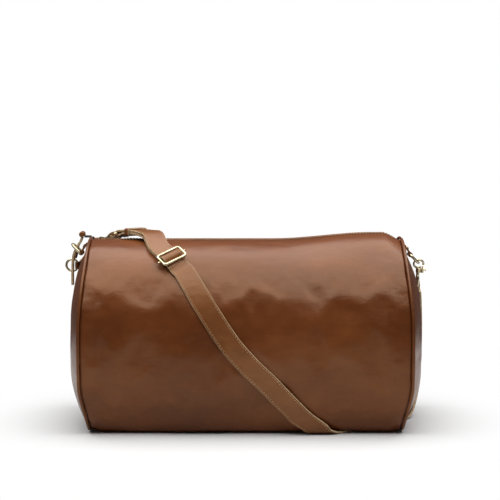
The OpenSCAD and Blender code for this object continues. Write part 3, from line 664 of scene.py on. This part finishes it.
# ---------------------------------------------------------------- the soft shape
def top_rise(x, y):
    """The folded edges beside the zip stand higher towards the right end, and a little to the left."""
    near_top = smoothstep(95, 15, abs(y))
    right = RISE_RIGHT * smoothstep(40, 190, x) * smoothstep(231, 205, x)
    left = RISE_LEFT * smoothstep(-150, -210, x)
    return near_top * (right + left)


def soft_fold(x, u):
    """Broad shallow waves of the leather, in mm, dying away at the seams."""
    p = Vector((x / 120, abs(u) * 2.1, sign(u) * 3.7))
    wave = noise.noise(p) * 3.4 + noise.noise(p * 2.3) * 1.3
    seam = smoothstep(HALF_L, HALF_L - 34, abs(x))
    ends = smoothstep(0.07, 0.3, abs(u)) * smoothstep(2, 1.75, abs(u))
    return wave * seam * ends


def pucker(x, u):
    """Small gathers along the piped seams, and the skin turning in to meet the piping."""
    near = smoothstep(44, 6, HALF_L - abs(x))
    p = Vector((x / 26, u * 9, 1.3))
    gathers = near * noise.noise(p) * 1.5 * smoothstep(0.07, 0.3, abs(u))
    return gathers - 1.5 * smoothstep(5, 0, HALF_L - abs(x))


def seam_shift(z):
    """How far the end seams stand out from a flat ring: in at the foot, out at the belly,
    in on top."""
    return -6 + 11.5 * smoothstep(0, 75, z) - 7.5 * smoothstep(150, 272, z)


def end_inset(x, z):
    """The seam's shift carried into the long panels, fading out towards the middle."""
    return sign(x) * seam_shift(z) * smoothstep(110, HALF_L, abs(x))


def lens_blend(ob):
    """Bakes the piece's transform into its mesh."""
    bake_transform(ob)


# ---------------------------------------------------------------- leather shell
def side_leather(side):
    """One long panel from the folded zip edge down to the base, as one loft."""
    name = "front_leather" if side < 0 else "back_leather"
    us = [side * u for u in span(u_at(ZIP_GAP), 2.0, 96)]
    xs = span(-HALF_L + GAP, HALF_L - GAP, 150)
    points = []
    for x in xs:
        for u in us:
            p = skin_point(x, u, soft_fold(x, u) + pucker(x, u))
            p.z += top_rise(x, p.y)
            p.x += end_inset(x, p.z)
            points.append(p)
    ob = make_mesh(name, points, grid_faces(len(xs), len(us), flip=side > 0), LEATHER)
    pins = []
    for x in xs:
        for u in us:
            along = smoothstep(HALF_L, HALF_L - 30, abs(x))
            free = along * smoothstep(0.35, 0.6, abs(u)) * smoothstep(1.8, 1.5, abs(u))
            pins.append(1 - 0.9 * free)
    settle(ob, pins, 0.35 if side < 0 else 0.3)
    roll_edge(ob, len(xs), len(us))
    press_mesh(ob)
    thicken(ob, LEATHER_T)
    apply_modifiers(ob)
    lens_blend(ob)
    nodes = ("front_panel", "front_top_flap") if side < 0 else ("back_panel", "back_top_flap")
    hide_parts(*nodes)


def roll_edge(ob, columns, rows):
    """Rounds the leather down at the zip, so that it reads as a folded edge."""
    for i in range(columns):
        for j, drop in enumerate((1.1, 0.3)):
            ob.data.vertices[i * rows + j].co.z -= drop * MM
    ob.data.update()


side_leather(-1)
side_leather(1)


def base_leather():
    """Flat bottom panel, lifted a little at both ends and grooved under the strap."""
    xs = span(-HALF_L + GAP, HALF_L - GAP, 150)
    ys = span(-HALF_BASE, HALF_BASE, 60)
    points = []
    for x in xs:
        lift = max(0, abs(x) - FLAT_L) / (HALF_L - FLAT_L) * END_LIFT
        inset = end_inset(x, 0)
        points += [Vector((x + inset, y, lift)) for y in ys]
    ob = make_mesh("base_leather", points, grid_faces(len(xs), len(ys)), LEATHER)
    press_mesh(ob)
    thicken(ob, LEATHER_T)
    apply_modifiers(ob)
    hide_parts("base_panel")
    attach(ob, "bag")


base_leather()


def end_leather(side):
    """Domed end with a few soft creases that run in from the seam."""
    name = "left_end_leather" if side < 0 else "right_end_leather"
    rings = 40
    around = 150
    points = []
    for i in range(rings):
        r = 1 - i / rings
        for j in range(around):
            u = -3 + 6 * j / around
            p = dome_point(r * (1 - 0.011 * smoothstep(0.93, 1, r)), u, 0)
            gather = noise.noise(Vector((u * 3.1, r * 2.2, side * 5.1)))
            crease = noise.noise(Vector((u * 7.3, r * 1.4, side * 2.7)))
            edge = smoothstep(1, 0.9, r) * smoothstep(0.1, 0.6, r)
            p.x += edge * (gather * 2.4 + crease * 1.4 * smoothstep(0.4, 0.95, r))
            p.x -= DOME_SINK * smoothstep(1, 0.9, r)
            p.x += seam_shift(p.z) * r * r
            points.append(Vector((side * p.x, p.y, p.z)))
    tip = dome_point(0, 0, 0)
    points.append(Vector((side * (tip.x - DOME_SINK), tip.y, tip.z)))
    faces = grid_faces(rings, around, wrap=True, flip=side > 0)
    last = (rings - 1) * around
    for j in range(around):
        f = (last + j, last + (j + 1) % around, rings * around)
        faces.append(f[::-1] if side > 0 else f)
    ob = make_mesh(name, points, faces, LEATHER)
    press_mesh(ob)
    thicken(ob, LEATHER_T)
    apply_modifiers(ob)
    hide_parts("left_end_panel" if side < 0 else "right_end_panel")
    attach(ob, "bag")


end_leather(-1)
end_leather(1)


# ---------------------------------------------------------------- piping
def tube(name, path, normals, radius, material, sides=12):
    points, n = [], len(path)
    for i, p in enumerate(path):
        along = (path[min(i + 1, n - 1)] - path[max(i - 1, 0)]).normalized()
        out = normals[i].normalized()
        across = along.cross(out).normalized()
        for k in range(sides):
            a = 2 * math.pi * k / sides
            points.append(p + (out * math.sin(a) + across * math.cos(a)) * radius)
    faces = grid_faces(n, sides, wrap=True, flip=True)
    faces.append(tuple(range(sides)))
    faces.append(tuple((n - 1) * sides + k for k in range(sides))[::-1])
    return make_mesh(name, points, faces, material)


def piping(side):
    name = "left_seam_piping" if side < 0 else "right_seam_piping"
    u0 = u_at(ZIP_GAP + 2)
    path, normals = [], []
    for u in span(u0, 6 - u0, 320):
        w = wrapped(u)
        p = skin_point(HALF_L + 1.4, w, 1.1)
        out = skin_point(HALF_L + 1.4, w, 2.1) - p
        x = p.x + seam_shift(p.z)
        path.append(Vector((side * x, p.y, max(p.z, 2.4))))
        normals.append(Vector((0, out.y, out.z)))
    path = [Vector(p) for p in pressed(path, 2.9)]
    ob = tube(name, path, normals, PIPING_D / 2, PIPING_LEATHER)
    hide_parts("left_piping" if side < 0 else "right_piping")
    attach(ob, "bag")


piping(-1)
piping(1)


# ---------------------------------------------------------------- strap, tabs, thong and keeper
def ribbon(name, frames, width, thick, low=0):
    """A flat strap with bevelled raw edges; width and thick are (start, end)."""
    points, faces, kinds = [], [], []
    n = len(frames)
    for i, (p, along, across, out) in enumerate(frames):
        w = (width[0] + (width[1] - width[0]) * i / (n - 1)) / 2
        t = (thick[0] + (thick[1] - thick[0]) * i / (n - 1)) / 2
        bevel = min(0.5, t * 0.6)
        profile = [(-w, t - bevel), (-w + bevel, t), (-w * 0.83, t * 0.92), (-w * 0.5, t), (w * 0.5, t),
                   (w * 0.83, t * 0.92), (w - bevel, t), (w, t - bevel), (w, bevel - t), (w - bevel, -t),
                   (bevel - w, -t), (-w, bevel - t)]
        for a, h in profile:
            q = p + across * a + out * h
            points.append(Vector((q.x, q.y, max(q.z, low))))
    sides = len(profile)
    edge_faces = (6, 7, 8, 10, 11, 0)
    for i in range(n - 1):
        for j in range(sides):
            k = (j + 1) % sides
            faces.append((i * sides + j, (i + 1) * sides + j, (i + 1) * sides + k, i * sides + k))
            kinds.append(1 if j in edge_faces else 0)
    faces.append(tuple(range(sides)))
    faces.append(tuple((n - 1) * sides + k for k in range(sides))[::-1])
    kinds += [1, 1]
    ob = make_mesh(name, points, faces, [STRAP_LEATHER, RAW_EDGE])
    ob.data.polygons.foreach_set("material_index", kinds)
    ob.data.set_sharp_from_angle(angle=math.radians(38))
    return ob


STITCH_L = 3.1
STITCH_R = 0.52
STITCH_PITCH = 4.6
STITCH_INSET = 2.6


def stitch_mesh(name, places):
    """Short threads: each place is a point, the direction along and the outward normal, in mm."""
    sides, points, faces = 6, [], []
    for p, along, out in places:
        across = along.cross(out)
        first = len(points)
        for s, r in ((-0.72, 0.6), (0, 1), (0.72, 0.6)):
            for k in range(sides):
                a = 2 * math.pi * k / sides
                ring = across * math.cos(a) + out * math.sin(a)
                points.append(p + along * s * STITCH_L / 2 + ring * STITCH_R * r)
        faces += grid_faces(3, sides, start=first, wrap=True)
        faces.append(tuple(first + k for k in range(sides))[::-1])
        faces.append(tuple(first + 2 * sides + k for k in range(sides)))
    return make_mesh(name, points, faces, THREAD)


def places_along(points, normals):
    """Stitch places at equal steps along a line of points."""
    out, travelled, wanted = [], 0, STITCH_PITCH / 2
    for i in range(len(points) - 1):
        step = points[i + 1] - points[i]
        while step.length > 0 and travelled + step.length >= wanted:
            t = (wanted - travelled) / step.length
            normal = normals[i].lerp(normals[i + 1], t).normalized()
            out.append((points[i].lerp(points[i + 1], t), step.normalized(), normal))
            wanted += STITCH_PITCH
        travelled += step.length
    return out


def strap_stitches():
    """Stitches along both edges of the strap's outer side, left out where it lies on the floor."""
    places = []
    normals = [out for p, along, across, out in STRAP_FRAMES]
    for side in (1, -1):
        aside, above = side * (STRAP_W / 2 - STITCH_INSET), STRAP_T * 0.46 + 0.1
        line = [p + across * aside + out * above for p, along, across, out in STRAP_FRAMES]
        places += places_along(line, normals)
    places = [q for q in places if q[0].z > 1.2]
    ob = stitch_mesh("shoulder_strap_stitching", places)
    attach(ob, "bag")


def straps():
    strap = ribbon("shoulder_strap_leather", STRAP_FRAMES, (STRAP_W, STRAP_W), (STRAP_T, STRAP_T), 0.2)
    left = ribbon("left_tab_leather", TAB_FRAMES, (STRAP_W, TAB_END_W), (TAB_T, 1.2))
    right = ribbon("right_tab_leather", ribbon_frames(RIGHT_TAB_ROUTE), (TAB_END_W, TAB_END_W), (1.4, 1.4))
    thong = ribbon("zip_thong_leather", THONG_FRAMES, (THONG_W, THONG_W), (THONG_T, THONG_T))
    for ob, node in ((strap, "shoulder_strap"), (left, "strap_left_tab"), (right, "strap_right_tab"),
                     (thong, "zip_tail_thong")):
        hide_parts(node)
        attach(ob, "bag")
    strap_stitches()


straps()


def keeper():
    """Leather loop round both layers of the strap."""
    inner_w, inner_t, wall, width = STRAP_W + 1.4, 8.2, 1.5, 10
    centre = Vector((-164.4, 5.8, (BRIDGE_Z + UPPER_Z) / 2 - 0.2))
    turn = math.radians(39.3)
    across = Vector((math.cos(turn), math.sin(turn), 0))
    along = UP.cross(across)
    half_w, half_t, r = (inner_w + wall) / 2, (inner_t + wall) / 2, 2
    frames = []
    corners = ((1, 1), (-1, 1), (-1, -1), (1, -1))
    for quarter, (sx, sz) in enumerate(corners):
        for k in range(9):
            a = math.radians(90 * quarter + 90 * k / 8)
            out = across * math.cos(a) + UP * math.sin(a)
            p = centre + across * sx * (half_w - r) + UP * sz * (half_t - r) + out * r
            way = across * -math.sin(a) + UP * math.cos(a)
            frames.append((p, way, along, out))
    frames.append(frames[0])
    ob = ribbon("strap_keeper_leather", frames, (width, width), (wall, wall))
    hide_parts("strap_keeper")
    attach(ob, "bag")


keeper()


# ---------------------------------------------------------------- zip
TAPE_Z = BODY_H - 4.4
TAPE_T = 0.8
TAPE_W = 17
TEETH_H = 3.6
TEETH_Z = TAPE_Z + TAPE_T / 2
ZIP_X = (-224, 219)


def zip_tape(side):
    """Cloth tape from the teeth to under the leather, climbing with the leather's folded edge."""
    name = "front_zip_tape_cloth" if side < 0 else "back_zip_tape_cloth"
    xs = span(ZIP_X[0] - 2.6, ZIP_X[1] + 4, 220)
    ys = span(TEETH_W / 2, TAPE_W, 10)
    points = []
    for x in xs:
        for y in ys:
            rise = top_rise(x, y) * smoothstep(TEETH_W / 2 + 0.5, ZIP_GAP, y)
            points.append(Vector((x, side * y, TAPE_Z + TAPE_T + rise * 0.95)))
    ob = make_mesh(name, points, grid_faces(len(xs), len(ys), flip=side > 0), TAPE_CLOTH)
    thicken(ob, TAPE_T)
    apply_modifiers(ob)
    lens_blend(ob)
    front = ("zip_tape_front", "zip_tape_left_end")
    back = ("zip_tape_back", "zip_tape_right_end")
    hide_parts(*(front if side < 0 else back))


def zip_teeth(side):
    """One row of separate metal teeth, each with a narrow neck and a bevelled head."""
    name = "front_zip_teeth_metal" if side < 0 else "back_zip_teeth_metal"
    shift = 0 if side > 0 else TOOTH_PITCH / 2
    count = int((ZIP_X[1] - ZIP_X[0] - shift) / TOOTH_PITCH)
    tooth_l = TOOTH_PITCH / 2 - 0.5
    outline = ((2.8, 0.6), (2.6, 0.72), (0.6, 0.44), (-0.2, 0.62), (-0.8, 0.6), (-1.1, 0.36))
    bevelled_square = ((-1, -0.8), (-1, 0.8), (-0.7, 1), (0.7, 1),
                       (1, 0.8), (1, -0.8), (0.7, -1), (-0.7, -1))
    points, faces = [], []
    for i in range(count):
        x = ZIP_X[0] + shift + i * TOOTH_PITCH + tooth_l
        first = len(points)
        for y, half in outline:
            for dx, dz in bevelled_square:
                points.append(Vector((x + dx * half, side * y, TEETH_Z + dz * TEETH_H / 2)))
        faces += grid_faces(len(outline), 8, start=first, wrap=True, flip=side < 0)
        top = tuple(first + k for k in range(8))
        end = tuple(first + 8 * (len(outline) - 1) + k for k in range(8))
        faces += [top[::-1] if side > 0 else top, end if side > 0 else end[::-1]]
    ob = make_mesh(name, points, faces, ZIP_METAL, smooth=False)
    lens_blend(ob)
    front = ("zip_teeth_front", "zip_teeth_left_end")
    back = ("zip_teeth_back", "zip_teeth_right_end")
    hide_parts(*(front if side < 0 else back))


def zip_end_patch():
    """Cloth that closes the zip's right end, from the bottom stop to the piped seam."""
    xs, ys = span(ZIP_X[1] + 2.4, HALF_L - 0.6, 4), span(-ZIP_GAP - 1, ZIP_GAP + 1, 8)
    slope = 0.5 / (HALF_L - ZIP_X[1])
    points = [Vector((x, y, TAPE_Z + slope * (x - ZIP_X[1]))) for x in xs for y in ys]
    ob = make_mesh("zip_end_patch_cloth", points, grid_faces(len(xs), len(ys), flip=True), TAPE_CLOTH)
    thicken(ob, TAPE_T)
    apply_modifiers(ob)
    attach(ob, "bag")


def zip_stitches(side):
    """The row of stitches that holds the leather's folded edge to the zip."""
    u = side * u_at(ZIP_GAP + 3.2)
    points, normals = [], []
    for x in span(-222, 222, 220):
        p = skin_point(x, u, 0.35)
        p.z += top_rise(x, p.y)
        p.x += end_inset(x, p.z)
        points.append(p)
        normals.append(Vector((0, side * 0.03, 1)))
    name = "front_zip_stitching" if side < 0 else "back_zip_stitching"
    ob = stitch_mesh(name, places_along(points, normals))
    lens_blend(ob)


zip_end_patch()
for side in (-1, 1):
    zip_tape(side)
    zip_teeth(side)
    zip_stitches(side)


# ---------------------------------------------------------------- lining
def lining():
    """Cloth bag inside, open along the mouth, with loose folds."""
    out = -LEATHER_T - 3.4
    u0 = u_at(FLAP_Y + 5)
    xs = span(4 - FLAT_L, FLAT_L - 4, 90)
    us = span(u0, 6 - u0, 130)
    floor_z = 9.8
    end_mid_z = 120
    points = []

    def cloth_point(x, u):
        w = wrapped(u)
        near = smoothstep(0.3, 0.6, abs(w)) * smoothstep(FLAT_L, FLAT_L - 30, abs(x))
        fold = noise.noise(Vector((x / 45, u * 2.7, 4.4))) * 2.2
        fold += noise.noise(Vector((x / 17, u * 1.2, 8.1))) * 0.9
        below_mouth = smoothstep(0.95, 0.5, abs(w)) * smoothstep(FLAT_L, FLAT_L - 40, abs(x))
        y, z = section_point(w, out - near * (1.6 + fold) - 13 * below_mouth)
        return Vector((x, y, max(z, floor_z)))

    for x in xs:
        points += [cloth_point(x, u) for u in us]
    faces = grid_faces(len(xs), len(us))
    cols, rows = len(us), 12
    for end in (0, 1):
        outward = 1 if end else -1
        rim = (len(xs) - 1) * cols * end
        ring = [points[rim + j] for j in range(cols)]
        first = len(points)
        top = (ring[0] + ring[-1]) / 2
        for i in range(1, rows + 1):
            t = i / rows
            for j in range(cols):
                up = abs(2 * j / (cols - 1) - 1) ** 8
                centre = Vector((ring[j].x, 0, end_mid_z + (top.z - end_mid_z) * up))
                p = ring[j].lerp(centre, t)
                p.x += (noise.noise(Vector((p.y / 40, p.z / 40, end * 7))) * 2 - 1) * outward
                points.append(p)
        for j in range(cols - 1):
            seam = (rim + j, rim + j + 1, first + j + 1, first + j)
            faces.append(seam if end else seam[::-1])
        faces += grid_faces(rows, cols, start=first, flip=not end)
    ob = make_mesh("lining_cloth_bag", points, faces, LINING_CLOTH)
    thicken(ob, 0.9)
    apply_modifiers(ob)
    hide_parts("lining")
    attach(ob, "bag")


lining()


# ---------------------------------------------------------------- finishes on the CAD nodes that stay
def dress(names, material, bevel=0):
    for name in names:
        ob = frame["nodes"][name]
        ob.data.materials.clear()
        ob.data.materials.append(material)
        if bevel:
            m = ob.modifiers.new("soft edges", "BEVEL")
            m.width = bevel * MM
            m.segments = 2
            m.limit_method = "ANGLE"


BRASS_NODES = [
    "left_ring", "right_ring", "left_chape_rivet", "right_chape_rivet", "left_hook_eye",
    "right_hook_eye", "left_hook", "right_hook", "left_hook_bolt", "right_hook_bolt",
    "strap_left_rivet", "strap_right_rivet", "strap_end_ring", "tri_glide_frame", "tri_glide_bar",
]
dress(BRASS_NODES, BRASS)
dress(["zip_slider", "zip_pull"], BRASS, 0.25)
dress(["zip_top_stop", "zip_bottom_stop"], ZIP_METAL, 0.3)
dress(["left_chape", "right_chape", "zip_tail_knob"], STRAP_LEATHER, 0.4)
dress(["zip_tail"], TAPE_CLOTH, 0.2)
dress(["base_board"], BOARD, 0.5)


# ---------------------------------------------------------------- floor and light
SOFTBOX_HEIGHT = 1.45
TABLE_RADIUS = 0.9
SURROUND_RADIUS = 40
DISC_SIDES = 96
FADE_X = 0.29
FADE_Y = 0.32


def disc(radius):
    """A ring of points in mm, from a radius in metres."""
    turns = [2 * math.pi * k / DISC_SIDES for k in range(DISC_SIDES)]
    return [Vector((radius * math.cos(a), radius * math.sin(a), 0)) / MM for a in turns]


def floor():
    """A pale table top that fades to plain white round the bag, and a white surround that lights nothing."""
    m, tree, shader = new_material("floor")
    co = object_coords(tree)
    patches = add_noise(tree, co, 3, 2)
    colour = add_ramp(tree, patches, [(0.3, (0.62, 0.62, 0.62)), (0.7, (0.64, 0.64, 0.64))])
    tree.links.new(colour, shader.inputs["Base Color"])
    shader.inputs["Roughness"].default_value = 0.9
    place = tree.nodes.new("ShaderNodeMapping")
    place.inputs["Scale"].default_value = (1 / FADE_X, 1 / FADE_Y, 1)
    tree.links.new(co, place.inputs["Vector"])
    reach = tree.nodes.new("ShaderNodeVectorMath")
    reach.operation = "LENGTH"
    tree.links.new(place.outputs["Vector"], reach.inputs[0])
    fade = tree.nodes.new("ShaderNodeMapRange")
    fade.interpolation_type = "SMOOTHSTEP"
    fade.inputs["From Min"].default_value = 0.85
    fade.inputs["From Max"].default_value = 1.5
    tree.links.new(reach.outputs["Value"], fade.inputs["Value"])
    glow = tree.nodes.new("ShaderNodeEmission")
    mixed = tree.nodes.new("ShaderNodeMixShader")
    tree.links.new(fade.outputs["Result"], mixed.inputs["Fac"])
    tree.links.new(shader.outputs["BSDF"], mixed.inputs[1])
    tree.links.new(glow.outputs["Emission"], mixed.inputs[2])
    tree.links.new(mixed.outputs["Shader"], tree.nodes["Material Output"].inputs["Surface"])
    table_top = make_mesh("floor", disc(TABLE_RADIUS), [tuple(range(DISC_SIDES))], m)
    m, tree, shader = new_material("surround")
    shader.inputs["Base Color"].default_value = (0, 0, 0, 1)
    shader.inputs["Emission Color"].default_value = (1, 1, 1, 1)
    shader.inputs["Emission Strength"].default_value = 1
    rings = disc(TABLE_RADIUS) + disc(SURROUND_RADIUS)
    surround = make_mesh("surround", rings, grid_faces(2, DISC_SIDES, wrap=True, flip=True), m)
    for name in ("visible_diffuse", "visible_glossy", "visible_shadow"):
        setattr(surround, name, False)


def softbox(name, location, target, size, radiance):
    data = bpy.data.lights.new(name, "AREA")
    data.shape = "RECTANGLE"
    data.size, data.size_y = size
    data.energy = radiance * math.pi * size[0] * size[1]
    ob = bpy.data.objects.new(name, data)
    ob.location = location
    ob.rotation_euler = (Vector(target) - Vector(location)).to_track_quat("-Z", "Y").to_euler()
    bpy.context.collection.objects.link(ob)


def world():
    """White where it is seen directly, dim where it only lights the bag."""
    w = bpy.data.worlds.new("studio")
    w.use_nodes = True
    tree = w.node_tree
    background = tree.nodes["Background"]
    path = tree.nodes.new("ShaderNodeLightPath")
    strength = tree.nodes.new("ShaderNodeMapRange")
    strength.inputs["To Min"].default_value = 0.1
    strength.inputs["To Max"].default_value = 1
    tree.links.new(path.outputs["Is Camera Ray"], strength.inputs["Value"])
    tree.links.new(strength.outputs["Result"], background.inputs["Strength"])
    background.inputs["Color"].default_value = (1, 1, 1, 1)
    bpy.context.scene.world = w


floor()
world()
softbox("overhead", (0, -0.2, SOFTBOX_HEIGHT), (0, -0.2, 0), (2.8, 2.15), 3.6)
bpy.context.scene.view_settings.view_transform = "Standard"
